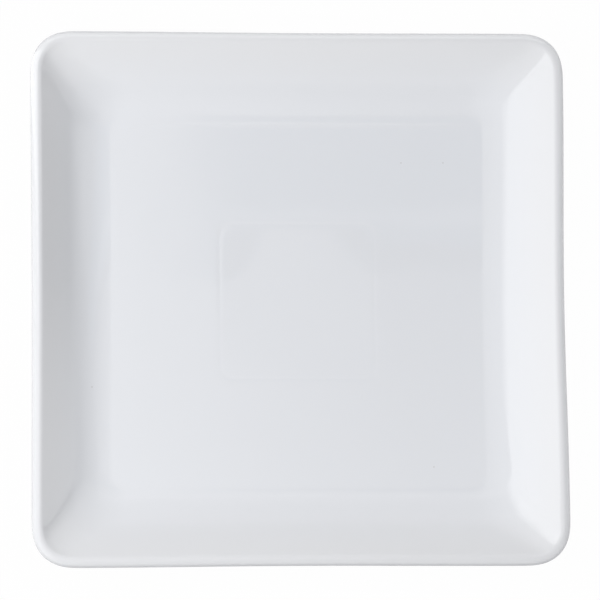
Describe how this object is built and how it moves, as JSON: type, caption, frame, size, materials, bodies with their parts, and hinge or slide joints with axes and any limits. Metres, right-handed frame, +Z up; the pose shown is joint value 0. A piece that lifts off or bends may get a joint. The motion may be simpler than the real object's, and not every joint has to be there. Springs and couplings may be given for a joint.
{
  "type": "square serving platter",
  "caption": "Square serving platter in white glazed stoneware: flat floor, coved sloping walls, thick round lip and soft corners, standing on a square foot ring.",
  "frame": {"origin": "middle of the foot ring, on the table that the platter stands on", "axes": "+Z up out of the well, +X and +Y along the sides of the square"},
  "size_m": [0.305, 0.305, 0.032],
  "materials": {
    "bare_clay": "matte",
    "white_glaze": "gloss"
  },
  "bodies": {
    "root": {"clay_body": "bare_clay", "face_glaze": "white_glaze", "recess_glaze": "white_glaze", "centre_glaze": "white_glaze"}
  },
  "joints": []
}
